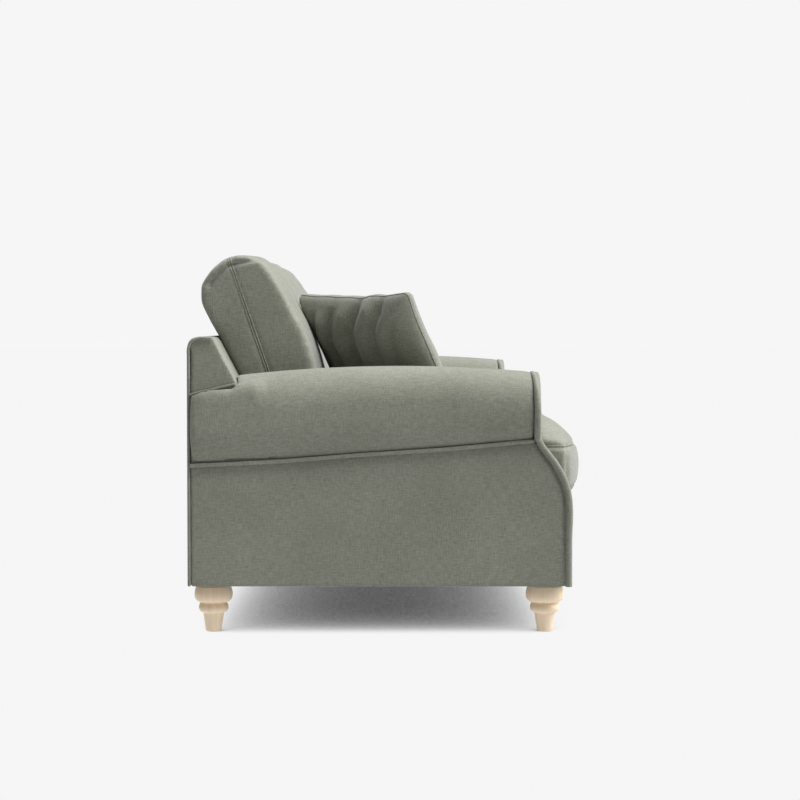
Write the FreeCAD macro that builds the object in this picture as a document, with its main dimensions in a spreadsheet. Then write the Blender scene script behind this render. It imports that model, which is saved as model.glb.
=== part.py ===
# English roll arm sofa, modelled at real size in millimetres.
# +X runs along the sofa, -Y faces the front, +Z is up. The origin is on the floor, under the middle.
# Left is -X and right is +X, as seen from the front.
import FreeCAD, Part, Sketcher
import math
import os
from FreeCAD import Placement, Rotation, Vector

# Driving dimensions, kept in the document's sheet under these names.
SIZES = {
    # body of the sofa
    "body_back": 497.5, "body_front": 462.5, "body_reach": 955, "base_bottom": 121,
    "back_top": 745, "deck_top": 345, "back_slope_angle": 27.5, "back_depth_at_top": 63.5,
    # arms
    "arm_thickness": 170, "roll_overhang": 27, "roll_inner_radius": 100,
    "sweep_run": 79.5, "sweep_bottom": 339, "facing_depth": 17,
    "roll_low_rear": 423, "roll_low_middle": 450, "roll_low_front": 485,
    "roll_top_rear": 633, "roll_top_middle": 670, "roll_top_front": 656,
    "arm_pad_wall": 40, "panel_depth": 25, "panel_seat": 0.3,
    # timber frame
    "board": 28, "rail_height": 179, "border_depth": 22, "outer_back_depth": 8,
    "block_size": 100, "block_height": 39, "arm_rail_play": 12.5, "arm_rail_height": 60,
    "post_play": 7.5, "top_rail_height": 66, "top_pad": 32, "inside_back_pad_depth": 22,
    # seat deck
    "strap_width": 50, "strap_thickness": 2, "deck_cover": 3, "cloth": 1,
    # feet and their fixings
    "foot_top": 43.2, "foot_bulge_round": 28.3, "foot_ring": 37.7, "foot_neck": 27, "foot_toe": 19.5,
    "foot_height": 118, "ring_low": 48, "ring_high": 74,
    "foot_from_side": 75, "foot_from_front": 63.5, "foot_from_back": 58.5,
    "plate_size": 60, "plate_thickness": 3, "bolt_radius": 4, "bolt_fit": 0.05, "bolt_grip": 28,
    # piping
    "piping_radius": 4.5, "piping_seat": 0.2,
    # loose cushions
    "clearance": 0.3, "cover_wall": 3, "filling_gap": 0.5,
    "seat_seam": 474, "seat_crown": 537, "seat_corner_setback": 12.5, "seat_bulge": 35,
    "ear_from_end": 25.6,
    "back_cushion_top": 957, "back_cushion_depth": 266, "back_drawn_in": 12, "back_gap": 0.7,
    "scatter_width": 410, "scatter_height": 376, "scatter_depth": 150, "scatter_waist": 12,
    "scatter_lean_angle": 32, "scatter_turn_angle": 45, "scatter_from_arm": 179,
    "scatter_before_back": 144,
}

# Dimensions that follow from the driving ones.
RELATED = {
    "arm_inner": "body_reach - arm_thickness",
    "arm_front": "body_front - sweep_run",
    "roll_reach": "body_reach + roll_overhang",
    "roll_crest": "arm_inner + roll_inner_radius",
    "back_line_top": "body_back - back_depth_at_top",
    "arm_space": "arm_thickness - arm_pad_wall - panel_depth",
    "post_width": "arm_space - 2 * post_play",
    "arm_rail_width": "arm_space - 2 * arm_rail_play",
    "foot_across": "body_reach - foot_from_side",
    "foot_front": "body_front - foot_from_front",
    "foot_back": "body_back - foot_from_back",
    "frame_reach": "body_reach - panel_depth",
    "frame_front": "body_front - border_depth",
    "frame_back": "body_back - outer_back_depth",
    "rail_top": "base_bottom + rail_height",
    "seat_corner_front": "body_front - seat_corner_setback",
    "seat_bulge_front": "body_front + seat_bulge",
    "ear_end": "body_reach - ear_from_end",
    "back_cushion_front": "back_line_top - back_cushion_depth",
    "scatter_across": "arm_inner - scatter_from_arm",
    "scatter_behind": "back_cushion_front - scatter_before_back",
}

LONG_STRAPS = 12
CROSS_STRAPS = 5

doc = FreeCAD.newDocument("english_roll_arm_sofa")
sheet = doc.addObject("Spreadsheet::Sheet", "sizes")
entries = [(name, str(number)) for name, number in SIZES.items()]
entries += [(name, f"={rule}") for name, rule in RELATED.items()]
for row, (name, entry) in enumerate(entries, start=1):
    sheet.set(f"A{row}", name)
    sheet.set(f"B{row}", entry)
    sheet.setAlias(f"B{row}", name)
doc.recompute()

nodes = []
SIDES = {"left": -1, "right": 1}


def size(alias):
    """One driving dimension as a number."""
    return float(sheet.get(alias))


def keep(thing, label):
    """Name a finished sub-part and list it for export."""
    thing.Label = label
    nodes.append(thing)
    return thing


def shape_of(label):
    """The shape of a finished sub-part."""
    return next(item for item in nodes if item.Label == label).Shape


def solid(label, shape):
    """A sub-part whose form needs Part's own curves."""
    feature = doc.addObject("Part::Feature", label)
    feature.Shape = shape
    return keep(feature, label)


def box(name, low, spans):
    """A box with its low corner and its three lengths bound to the sheet."""
    item = doc.addObject("Part::Box", name)
    for side_name, rule in zip(("Length", "Width", "Height"), spans):
        item.setExpression(side_name, rule)
    for axis_name, rule in zip("xyz", low):
        item.setExpression(f".Placement.Base.{axis_name}", rule)
    return item


def rod(name, x_rule, y_rule, low, height, radius):
    """An upright cylinder bound to the sheet."""
    item = doc.addObject("Part::Cylinder", name)
    item.setExpression("Radius", radius)
    item.setExpression("Height", height)
    for axis_name, rule in zip("xyz", (x_rule, y_rule, low)):
        item.setExpression(f".Placement.Base.{axis_name}", rule)
    return item


def drilled(name, blank, hole):
    """A blank with one hole through it."""
    item = doc.addObject("Part::Cut", name)
    item.Base = blank
    item.Tool = hole
    return item


def group(label, members):
    """Several separate solids under one name."""
    item = doc.addObject("Part::Compound", label)
    item.Links = members
    return keep(item, label)


def mirrored_low(side, inner, outer):
    """The low X of something that lies from inner to outer on one side."""
    return f"-({outer})" if side < 0 else f"{inner}"


def outline(edges, place):
    """A closed wire: each edge starts at a point and runs through a second one, or straight."""
    shapes = []
    for index, (start, through) in enumerate(edges):
        end = edges[(index + 1) % len(edges)][0]
        if through is None:
            shapes.append(Part.makeLine(place(*start), place(*end)))
        else:
            shapes.append(Part.Arc(place(*start), place(*through), place(*end)).toShape())
    return Part.Wire(shapes)


def blend(first, second, share):
    """An outline part of the way from the first one to the second."""
    def between(one, other):
        if one is None:
            return None
        return tuple(a + (b - a) * share for a, b in zip(one, other))
    return [(between(s1, s2), between(t1, t2)) for (s1, t1), (s2, t2) in zip(first, second)]


def drawn_in(edges, inset):
    """The same outline, drawn in by the inset on every side."""
    points = [start for start, _ in edges] + [through for _, through in edges if through]
    lows = [min(p[axis] for p in points) for axis in range(2)]
    highs = [max(p[axis] for p in points) for axis in range(2)]
    centres = [(low + high) / 2 for low, high in zip(lows, highs)]
    shares = [1 - 2 * inset / (high - low) for low, high in zip(lows, highs)]

    def pulled(point):
        if point is None:
            return None
        return tuple(c + (v - c) * share for v, c, share in zip(point, centres, shares))
    return [(pulled(start), pulled(through)) for start, through in edges]


def loft(wires):
    """A smooth solid through the wires, in order."""
    return Part.makeLoft(wires, True, False)


def tube(edges, radius):
    """A round cord along arcs and lines that meet end to end."""
    path = Part.Wire(edges)
    first = path.OrderedEdges[0]
    start = first.valueAt(first.FirstParameter)
    heading = first.tangentAt(first.FirstParameter)
    ring = Part.Wire(Part.makeCircle(radius, start, heading))
    return path.makePipeShell([ring], True, True)


def prism(edges, low_x, high_x):
    """A solid with one outline in the Y-Z plane, from one X to another."""
    wire = outline(edges, lambda y, z: Vector(low_x, y, z))
    return Part.Face(wire).extrude(Vector(high_x - low_x, 0, 0))


# Lines that several pieces share.
slope = math.tan(math.radians(size("back_slope_angle")))
lean = Vector(0, math.sin(math.radians(size("back_slope_angle"))), math.cos(math.radians(size("back_slope_angle"))))
pad_reach = size("inside_back_pad_depth") / math.cos(math.radians(size("back_slope_angle")))


def inside_back(z):
    """Y of the inside back's face at a height."""
    return size("back_line_top") - (size("back_top") - z) * slope


def roll_section(y):
    """The roll's low line and crest height at one place along the arm."""
    front = -(size("arm_front") - size("facing_depth"))
    rear = size("frame_back")
    share = (y - front) / (rear - front)
    heights = []
    for kind in ("roll_low", "roll_top"):
        ends = (size(f"{kind}_front"), size(f"{kind}_rear"))
        rise = size(f"{kind}_middle") - sum(ends) / 2
        heights.append(ends[0] + (ends[1] - ends[0]) * share + 4 * rise * share * (1 - share))
    return heights


# Timber frame.
def base_frame():
    depth = "sizes.frame_front + sizes.frame_back - 2 * sizes.board"
    height = "sizes.rail_height"
    base = "sizes.base_bottom"
    across = ("2 * sizes.frame_reach", "sizes.board", height)
    keep(box("front_rail_box", ("-sizes.frame_reach", "-sizes.frame_front", base), across), "front_rail")
    keep(box("back_rail_box", ("-sizes.frame_reach", "sizes.frame_back - sizes.board", base), across), "back_rail")
    inner_y = "sizes.board - sizes.frame_front"
    for name, side in SIDES.items():
        low = mirrored_low(side, "sizes.frame_reach - sizes.board", "sizes.frame_reach")
        keep(box(f"side_rail_{name}_box", (low, inner_y, base), ("sizes.board", depth, height)),
             f"side_rail_{name}")
    third = "sizes.arm_inner / 3"
    braces = []
    for side in SIDES.values():
        low = mirrored_low(side, f"{third} - sizes.board / 2", f"{third} + sizes.board / 2")
        braces.append(box("brace", (low, inner_y, base), ("sizes.board", depth, height)))
    group("seat_cross_braces", braces)


def corner_blocks():
    blocks = []
    inside = "sizes.frame_reach - sizes.board"
    front = "sizes.board - sizes.frame_front"
    back = "sizes.frame_back - sizes.board - sizes.block_size"
    for side in SIDES.values():
        low_x = mirrored_low(side, f"{inside} - sizes.block_size", inside)
        for low_y, y_rule in ((front, "-sizes.foot_front"), (back, "sizes.foot_back")):
            blank = box("block", (low_x, low_y, "sizes.base_bottom"),
                        ("sizes.block_size", "sizes.block_size", "sizes.block_height"))
            hole = rod("block_hole", f"{side} * sizes.foot_across", y_rule, "sizes.base_bottom",
                       "sizes.block_height", "sizes.bolt_radius + sizes.bolt_fit")
            blocks.append(drilled("drilled_block", blank, hole))
    group("corner_blocks", blocks)


def arm_frame():
    rail_bottom = "sizes.roll_low_front + sizes.arm_pad_wall"
    middle = "sizes.arm_inner + sizes.arm_pad_wall + sizes.arm_space / 2"
    front = "sizes.facing_depth - sizes.arm_front"
    for name, side in SIDES.items():
        low = mirrored_low(side, f"{middle} - sizes.post_width / 2", f"{middle} + sizes.post_width / 2")
        keep(box(f"post_{name}_box", (low, front, "sizes.rail_top"),
                 ("sizes.post_width", "sizes.board", f"{rail_bottom} - sizes.rail_top")),
             f"arm_front_post_{name}")
        low = mirrored_low(side, f"{middle} - sizes.arm_rail_width / 2", f"{middle} + sizes.arm_rail_width / 2")
        back = f"sizes.back_line_top - (sizes.back_top - {rail_bottom}) * tan(sizes.back_slope_angle * 1deg)"
        keep(box(f"arm_rail_{name}_box", (low, front, rail_bottom),
                 ("sizes.arm_rail_width", f"{back} - ({front})", "sizes.arm_rail_height")),
             f"arm_top_rail_{name}")


def back_frame():
    rail_front = size("frame_back") - size("board")
    foot = size("rail_top")
    rail_low = size("back_top") - size("top_pad") - size("top_rail_height")
    edges = [((inside_back(foot) + pad_reach, foot), None),
             ((inside_back(rail_low) + pad_reach, rail_low), None),
             ((rail_front, rail_low), None), ((rail_front, foot), None)]
    end = size("frame_reach")
    third = size("arm_inner") / 3
    board = size("board")
    lows = (-end, -third - board / 2, third - board / 2, end - board)
    solid("back_uprights", Part.Compound([prism(edges, low, low + board) for low in lows]))
    rear_board = "sizes.frame_back - sizes.board"
    rail = "sizes.back_top - sizes.top_pad - sizes.top_rail_height"
    keep(box("back_top_rail_box", ("-sizes.frame_reach", rear_board, rail),
             ("2 * sizes.frame_reach", "sizes.board", "sizes.top_rail_height")), "back_top_rail")
    posts = []
    for low in ("-sizes.frame_reach", "-sizes.board / 2", "sizes.frame_reach - sizes.board"):
        posts.append(box("back_post", (low, rear_board, "sizes.rail_top"),
                         ("sizes.board", "sizes.board", f"{rail} - sizes.rail_top")))
    group("back_posts", posts)


# Seat deck: straps, pad, cloth and the dust cover under the base.
def seat_straps():
    width = "sizes.strap_width"
    thickness = "sizes.strap_thickness"
    straps = []
    for index in range(LONG_STRAPS):
        middle = f"sizes.arm_inner * {(2 * index + 1) / LONG_STRAPS - 1}"
        straps.append(box("long_strap", (f"{middle} - {width} / 2", "-sizes.frame_front", "sizes.rail_top"),
                          (width, "sizes.frame_front + sizes.frame_back", thickness)))
    group("webbing_front_to_back", straps)
    straps = []
    behind_posts = "sizes.facing_depth + sizes.board - sizes.arm_front"
    span = f"(sizes.back_line_top / 3 - ({behind_posts}))"
    for index in range(CROSS_STRAPS):
        low = f"{behind_posts} + {span} * {(index + 0.5) / CROSS_STRAPS} - {width} / 2"
        straps.append(box("cross_strap", ("-sizes.frame_reach", low, f"sizes.rail_top + {thickness}"),
                          ("2 * sizes.frame_reach", width, thickness)))
    group("webbing_side_to_side", straps)


def deck_layer(low, high):
    """A layer of the deck: between the arms, with an ear in front of each arm."""
    front = -size("frame_front")
    arm = size("arm_inner")
    reach = size("frame_reach")
    middle = Part.makeBox(2 * arm, inside_back(low) - front, high - low, Vector(-arm, front, low))
    ears = Part.makeBox(2 * reach, -size("arm_front") - front, high - low, Vector(-reach, front, low))
    return middle.fuse(ears).removeSplitter()


def seat_deck():
    low = size("rail_top") + 2 * size("strap_thickness")
    high = size("deck_top") - size("deck_cover")
    solid("seat_platform_pad", deck_layer(low, high))
    solid("seat_platform_cover", deck_layer(high, size("deck_top")))
    front = -size("frame_front")
    reach = size("frame_reach")
    sheet_low = size("base_bottom") - size("cloth")
    cloth = Part.makeBox(2 * reach, size("frame_back") - front, size("cloth"), Vector(-reach, front, sheet_low))
    hole = size("plate_size") + 2 * size("cloth")
    for side in SIDES.values():
        for y in (-size("foot_front"), size("foot_back")):
            corner = Vector(side * size("foot_across") - hole / 2, y - hole / 2, sheet_low)
            cloth = cloth.cut(Part.makeBox(hole, hole, size("cloth"), corner))
    solid("dust_cover", cloth)


# Arms.
def roll_outline(y, part):
    """The arm pad's closed outline across the sofa at one place along it."""
    low, top = roll_section(y)
    inner = size("arm_inner")
    crest = size("roll_crest")
    reach = size("roll_reach")
    panel = size("body_reach")
    waist = low + (top - low) * 0.5
    shoulder = top - (crest - inner)
    turn = math.sqrt(0.5)
    inner_mid = (crest - (crest - inner) * turn, shoulder + (crest - inner) * turn)
    outer_mid = (crest + (reach - crest) * turn, waist + (top - waist) * turn)
    under_mid = (panel + (reach - panel) * 0.75, low + (waist - low) * 0.38)
    bottom = size("deck_top") if part == "facing" else size("rail_top") + 2 * size("strap_thickness")
    edges = [((inner, bottom), None), ((inner, shoulder), inner_mid), ((crest, top), outer_mid),
             ((reach, waist), under_mid)]
    if part == "facing":
        edges += [((panel, low), None), ((panel - size("panel_depth"), low), None),
                  ((panel - size("panel_depth"), bottom), None)]
    else:
        wall = inner + size("arm_pad_wall")
        edges += [((panel, low), None), ((wall, low), None), ((wall, bottom), None)]
    return edges


def back_block():
    """The space that the whole back takes between the outer ends of the body."""
    bottom = size("base_bottom")
    top = size("back_top")
    rear = size("body_back")
    edges = [((inside_back(bottom), bottom), None), ((inside_back(top), top), None),
             ((rear, top), None), ((rear, bottom), None)]
    return prism(edges, -size("body_reach"), size("body_reach"))


def side_place(side, y):
    return lambda x, z: Vector(side * x, y, z)


def arm_pads():
    front = -(size("arm_front") - size("facing_depth"))
    rear = size("frame_back")
    stations = [front + (rear - front) * index / 4 for index in range(5)]
    block = back_block()
    for name, side in SIDES.items():
        pad = loft([outline(roll_outline(y, "pad"), side_place(side, y)) for y in stations])
        pad = pad.cut(block)
        pad = pad.cut(shape_of(f"arm_top_rail_{name}")).cut(shape_of(f"arm_front_post_{name}"))
        solid(f"arm_pad_{name}", pad)
        face = outline(roll_outline(front, "facing"), side_place(side, -size("arm_front")))
        depth = Vector(0, size("facing_depth"), 0)
        solid(f"arm_facing_{name}", Part.Face(face).extrude(depth))


def sweep_points():
    """The swept front edge of the outside arm, from the deck line up to the roll."""
    run = size("body_front") - size("arm_front")
    low = size("sweep_bottom")
    rise = size("roll_low_front") - size("panel_seat") - low
    start = (-size("body_front"), low)
    first = (-size("body_front") + run * 0.13, low + rise * 0.32)
    middle = (-size("body_front") + run * 0.42, low + rise * 0.61)
    second = (-size("body_front") + run * 0.78, low + rise * 0.86)
    end = (-size("arm_front"), low + rise)
    return start, first, middle, second, end


def outside_panels():
    start, first, middle, second, end = sweep_points()
    rear = size("frame_back")
    front = -(size("arm_front") - size("facing_depth"))
    low_front, _ = roll_section(front)
    low_middle, _ = roll_section((front + rear) / 2)
    low_rear, _ = roll_section(rear)
    seat = size("panel_seat")
    edges = [(start, first), (middle, second), (end, None),
             ((front, low_front - seat), ((front + rear) / 2, low_middle - seat)), ((rear, low_rear - seat), None),
             ((rear, size("base_bottom")), None), ((-size("body_front"), size("base_bottom")), None)]
    reach = size("body_reach")
    depth = size("panel_depth")
    for name, side in SIDES.items():
        lows = (-reach, -reach + depth) if side < 0 else (reach - depth, reach)
        solid(f"outside_arm_panel_{name}", prism(edges, *lows))


def back_end_panels():
    rear = size("frame_back")
    top = size("back_top")
    low, _ = roll_section(rear)
    corner = size("board")
    turn = math.sqrt(0.5)
    outer = size("body_back")
    edges = [((inside_back(low), low), None), ((inside_back(top), top), None),
             ((outer - corner, top), (outer - corner + corner * turn, top - corner + corner * turn)),
             ((outer, top - corner), None), ((rear, top - corner), None), ((rear, low), None)]
    reach = size("body_reach")
    depth = size("panel_depth")
    for name, side in SIDES.items():
        lows = (-reach, -reach + depth) if side < 0 else (reach - depth, reach)
        solid(f"back_end_panel_{name}", prism(edges, *lows).cut(shape_of(f"outside_arm_panel_{name}")))


# Back and front upholstery.
def back_upholstery():
    rear = size("frame_back")
    top = size("back_top")
    deck = size("deck_top")
    cap = top - size("top_pad")
    rail_front = rear - size("board")
    reach = size("frame_reach")
    corner = size("board")
    turn = math.sqrt(0.5)
    rail_low = cap - size("top_rail_height")
    outer = size("body_back")
    edges = [((inside_back(deck), deck), None), ((inside_back(top), top), None),
             ((outer - corner, top), (outer - corner + corner * turn, top - corner + corner * turn)),
             ((outer, top - corner), None), ((rear, top - corner), None), ((rear, cap), None),
             ((rail_front, cap), None),
             ((rail_front, rail_low), None),
             ((inside_back(rail_low) + pad_reach, rail_low), None), ((inside_back(deck) + pad_reach, deck), None)]
    solid("inside_back_pad", prism(edges, -reach, reach))
    edges = [((rear, size("base_bottom")), None), ((rear, top - corner), None),
             ((rear + size("outer_back_depth"), top - corner), None),
             ((rear + size("outer_back_depth"), size("base_bottom")), None)]
    solid("outside_back_panel", prism(edges, -size("body_reach"), size("body_reach")))
    keep(box("border_box", ("-sizes.frame_reach", "-sizes.body_front", "sizes.base_bottom"),
             ("2 * sizes.frame_reach", "sizes.border_depth", "sizes.deck_top - sizes.base_bottom")),
         "front_border")


# Piping cords.
def piping():
    radius = size("piping_radius")
    offset = radius + size("piping_seat")
    front = -(size("arm_front") - size("facing_depth"))
    rear = size("frame_back")
    low, top = roll_section(front)
    waist = low + (top - low) * 0.5
    inner, crest, reach = size("arm_inner"), size("roll_crest"), size("roll_reach")
    shoulder = top - (crest - inner)
    turn = math.sqrt(0.5)
    span_in = crest - inner + offset
    span_out = reach - crest + offset
    for name, side in SIDES.items():
        place = side_place(side, front)
        points = [(inner - offset, shoulder),
                  (crest - span_in * turn, shoulder + span_in * turn), (crest, top + offset),
                  (crest + span_out * turn, waist + (top + offset - waist) * turn), (reach + offset, waist)]
        over = [Part.Arc(*(place(*p) for p in points[:3])).toShape(),
                Part.Arc(*(place(*p) for p in points[2:])).toShape()]
        solid(f"arm_facing_piping_{name}", tube(over, radius))
        x = side * (size("body_reach") + offset)
        middle = (front + rear) / 2
        line = [Vector(x, y, roll_section(y)[0] - offset) for y in (front, middle, rear)]
        solid(f"under_roll_piping_{name}", tube([Part.Arc(*line).toShape()], radius))
        inset = size("facing_depth")
        path = [Vector(x, y + inset, z - inset * 0.3) for y, z in sweep_points()]
        base = Vector(x, path[0].y, size("base_bottom"))
        edge = [Part.makeLine(base, path[0]), Part.Arc(*path[:3]).toShape()]
        upper = Part.Arc(*path[2:]).toShape()
        share = (low - 3 * offset - path[2].z) / (path[4].z - path[2].z)
        stop = upper.FirstParameter + (upper.LastParameter - upper.FirstParameter) * share
        edge.append(upper.Curve.toShape(upper.FirstParameter, stop))
        solid(f"front_edge_piping_{name}", tube(edge, radius))
        bend = size("board") - offset
        back = size("body_back") - offset
        high = size("back_top") - offset
        turn_mid = Vector(x, back - bend + bend * turn, high - bend + bend * turn)
        up = Part.makeLine(Vector(x, back, size("roll_top_rear") + offset), Vector(x, back, high - bend))
        over_corner = Part.Arc(Vector(x, back, high - bend), turn_mid, Vector(x, back - bend, high)).toShape()
        along = Part.makeLine(Vector(x, back - bend, high), Vector(x, inside_back(high) + offset, high))
        solid(f"back_end_piping_{name}", tube([up, over_corner, along], radius))


# Feet with their plates and bolts.
def foot_profile(sketch):
    """Half of the turned profile: a tapered toe, a ring, a bulge and the bolt's bore."""
    bore = "sizes.bolt_radius + sizes.bolt_fit"
    bore_end = "sizes.foot_height - sizes.bolt_grip"
    corners = [(None, None), ("sizes.foot_toe", None), ("sizes.foot_neck", "sizes.ring_low"),
               ("sizes.foot_neck", "sizes.ring_high"), ("sizes.foot_top", "sizes.foot_height"),
               (bore, "sizes.foot_height"), (bore, bore_end), (None, bore_end)]
    ring = ("(((sizes.ring_high - sizes.ring_low) / 2)^2 + (sizes.foot_ring - sizes.foot_neck)^2)"
            " / (2 * (sizes.foot_ring - sizes.foot_neck))")
    rounds = {2: (ring, size("foot_ring")), 3: ("sizes.foot_bulge_round", size("foot_top") + size("bolt_radius"))}
    points = [Vector(*(0 if rule is None else float(sketch.evalExpression(rule)) for rule in corner), 0)
              for corner in corners]
    for index, start in enumerate(points):
        end = points[(index + 1) % len(points)]
        if index in rounds:
            bulging = Vector(rounds[index][1], (start.y + end.y) / 2, 0)
            sketch.addGeometry(Part.Arc(start, bulging, end), False)
        else:
            sketch.addGeometry(Part.LineSegment(start, end), False)
    for index, rules in enumerate(corners):
        sketch.addConstraint(Sketcher.Constraint("Coincident", index, 2, (index + 1) % len(points), 1))
        for kind, axis, rule, value in zip(("DistanceX", "DistanceY"), (-2, -1), rules, points[index]):
            if rule is None:
                sketch.addConstraint(Sketcher.Constraint("PointOnObject", index, 1, axis))
            else:
                held = sketch.addConstraint(Sketcher.Constraint(kind, -1, 1, index, 1, value))
                sketch.setExpression(f"Constraints[{held}]", rule)
    for index, (rule, _) in rounds.items():
        held = sketch.addConstraint(Sketcher.Constraint("Radius", index, float(sketch.evalExpression(rule))))
        sketch.setExpression(f"Constraints[{held}]", rule)


def turned_foot(name, x_rule, y_rule):
    body = doc.addObject("PartDesign::Body", f"foot_{name}_body")
    sketch = body.newObject("Sketcher::SketchObject", f"foot_{name}_profile")
    plane = next(item for item in body.Origin.OriginFeatures if item.Role == "XZ_Plane")
    sketch.AttachmentSupport = [(plane, "")]
    sketch.MapMode = "FlatFace"
    foot_profile(sketch)
    doc.recompute()
    turned = body.newObject("PartDesign::Revolution", f"foot_{name}_turned")
    turned.Profile = sketch
    turned.ReferenceAxis = (sketch, ["V_Axis"])
    turned.Angle = 360
    body.setExpression(".Placement.Base.x", x_rule)
    body.setExpression(".Placement.Base.y", y_rule)
    keep(body, f"foot_{name}")


def feet():
    plates = []
    bolts = []
    hole_radius = "sizes.bolt_radius + sizes.bolt_fit"
    for row_name, y_rule in (("front", "-sizes.foot_front"), ("back", "sizes.foot_back")):
        for name, side in SIDES.items():
            x_rule = f"{side} * sizes.foot_across"
            turned_foot(f"{row_name}_{name}", x_rule, y_rule)
            plate = box("plate", (f"{x_rule} - sizes.plate_size / 2", f"{y_rule} - sizes.plate_size / 2",
                                  "sizes.foot_height"),
                        ("sizes.plate_size", "sizes.plate_size", "sizes.plate_thickness"))
            hole = rod("plate_hole", x_rule, y_rule, "sizes.foot_height", "sizes.plate_thickness", hole_radius)
            plates.append(drilled("drilled_plate", plate, hole))
            bolts.append(rod("bolt", x_rule, y_rule, "sizes.foot_height - sizes.bolt_grip",
                             "sizes.bolt_grip + sizes.plate_thickness + sizes.block_height",
                             "sizes.bolt_radius"))
    group("foot_plates", plates)
    group("foot_bolts", bolts)


# Loose cushions. Each has a cover and a filling of the same form, a little smaller.
def cushion_stations(low_x, high_x):
    """Places along a cushion where its section is set, and how full the section is there."""
    for share in (0, 0.06, 0.18, 0.34, 0.5, 0.66, 0.82, 0.94, 1):
        yield low_x + (high_x - low_x) * share, 1 - abs(2 * share - 1) ** 3.5


def crowned(flat, full, low_x, high_x, inset):
    """A cushion lofted along X: flat sections at its ends and the full one in the middle."""
    wires = []
    for x, fullness in cushion_stations(low_x + inset, high_x - inset):
        edges = drawn_in(blend(flat, full, fullness), inset)
        wires.append(outline(edges, lambda y, z, x=x: Vector(x, y, z)))
    return loft(wires)


def seat_sections():
    """A seat cushion's flat end section and its full middle one."""
    gap = size("clearance") / math.cos(math.radians(size("back_slope_angle")))
    base = size("deck_top") + size("clearance")
    seam = size("seat_seam")
    rise = size("seat_crown") - seam
    border = seam - base
    ease = size("cover_wall")
    rear_top = inside_back(seam) - gap
    rear_low = inside_back(base) - gap

    def section(front, puff, swell):
        depth = rear_top + front

        def at(share, up):
            return (depth * share - front, seam + rise * puff * up)
        return [((-front + swell * 0.4, base + ease), (-front, base + border * 0.42)),
                ((-front + swell * 0.25, seam - swell * 0.25), (-front + swell, seam + rise * puff * 0.4)),
                (at(0.12, 0.94), at(0.34, 0.985)),
                (at(0.554, 0.76), at(0.706, 0.525)),
                (at(0.858, 0.27), at(0.93, 0.16)), (at(1, 0), None),
                ((rear_low, base + ease), (-front / 4, base))]
    full = section(size("seat_bulge_front"), 1, size("seat_bulge"))
    flat = section(size("seat_corner_front"), 0.03, size("seat_corner_setback"))
    return flat, full


def seat_form(low_x, high_x, inset):
    flat, full = seat_sections()
    form = crowned(flat, full, low_x, high_x, inset)
    arm = size("arm_inner") - size("clearance") - inset
    ear_back = -(size("arm_front") + size("clearance") + inset)
    reach = 2 * size("body_reach")
    tall = 2 * size("back_top")
    for side in SIDES.values():
        if side * (low_x if side < 0 else high_x) > size("arm_inner"):
            corner_x = -reach if side < 0 else arm
            form = form.cut(Part.makeBox(reach - arm, reach, tall, Vector(corner_x, ear_back, 0)))
    return form


def back_sections():
    """A back cushion's flat end section and its full middle one."""
    gap = size("back_gap")
    seam = size("seat_seam")
    height = size("back_cushion_top") - seam
    front = size("back_cushion_front")
    foot = seam + 2 * size("cover_wall")
    shoulder = size("back_top") + 2 * size("cover_wall")

    def at(across, up):
        return (front + size("back_cushion_depth") * across, seam + height * up)
    full = [((inside_back(foot) - gap, foot), None),
            ((inside_back(shoulder) - gap, shoulder), at(1.154, 0.785)),
            (at(1.071, 0.934), at(0.868, 1)),
            (at(0.579, 0.971), at(0.218, 0.658)),
            (at(0.03, 0.344), at(0, 0.19)),
            (at(0.135, 0.035), None)]
    return drawn_in(full, size("back_drawn_in")), full


def scatter_form(inset):
    """A square pillow about the origin: front towards -Y, top towards +Z, sides drawn in to its corners."""
    wires = []
    depth = size("scatter_depth") / 2 - inset
    for share, pull in ((-1, 0.62), (-0.72, 0.26), (-0.36, 0.08), (0, 0), (0.36, 0.08), (0.72, 0.26), (1, 0.62)):
        half_w = size("scatter_width") / 2 * (1 - pull) - inset
        half_h = size("scatter_height") / 2 * (1 - pull) - inset
        waist = size("scatter_waist") * (1 - abs(share)) + 1
        edges = [((-half_w, -half_h), (0, -half_h + waist)), ((half_w, -half_h), (half_w - waist, 0)),
                 ((half_w, half_h), (0, half_h - waist)), ((-half_w, half_h), (-half_w + waist, 0))]
        wires.append(outline(edges, lambda x, z, y=depth * share: Vector(x, y, z)))
    return loft(wires)


def settled(shape, supports, heading):
    """How far a shape travels along a heading until it lies one clearance from its supports."""
    moved = shape.copy()
    travel = Vector(0, 0, 0)
    for _ in range(12):
        free = min(moved.distToShape(other)[0] for other in supports) - size("clearance")
        if free < 0.02:
            break
        step = heading * free
        moved.translate(step)
        travel += step
    return travel


def cushion_pair(label, filling_name, form, travel):
    """A cover and its filling, from the form at three insets."""
    wall = size("cover_wall")
    cover = form(0).cut(form(wall))
    filling = form(wall + size("filling_gap"))
    for shape, name in ((cover, f"{label}_cover"), (filling, f"{label}_{filling_name}")):
        shape.translate(travel)
        solid(name, shape)


def cushion_spans():
    third = 2 * size("arm_inner") / 3
    arm = size("arm_inner")
    half_gap = size("clearance")
    for index, name in enumerate(("left", "centre", "right")):
        low = -arm + third * index + half_gap
        yield name, low, low + third - 2 * half_gap


def seat_cushions():
    ear = size("ear_end")
    seats = {}
    for name, low, high in cushion_spans():
        low = -ear if name == "left" else low
        high = ear if name == "right" else high
        seats[name] = seat_form(low, high, 0)
        cushion_pair(f"seat_cushion_{name}", "core", lambda inset: seat_form(low, high, inset), Vector())
    return seats


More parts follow.
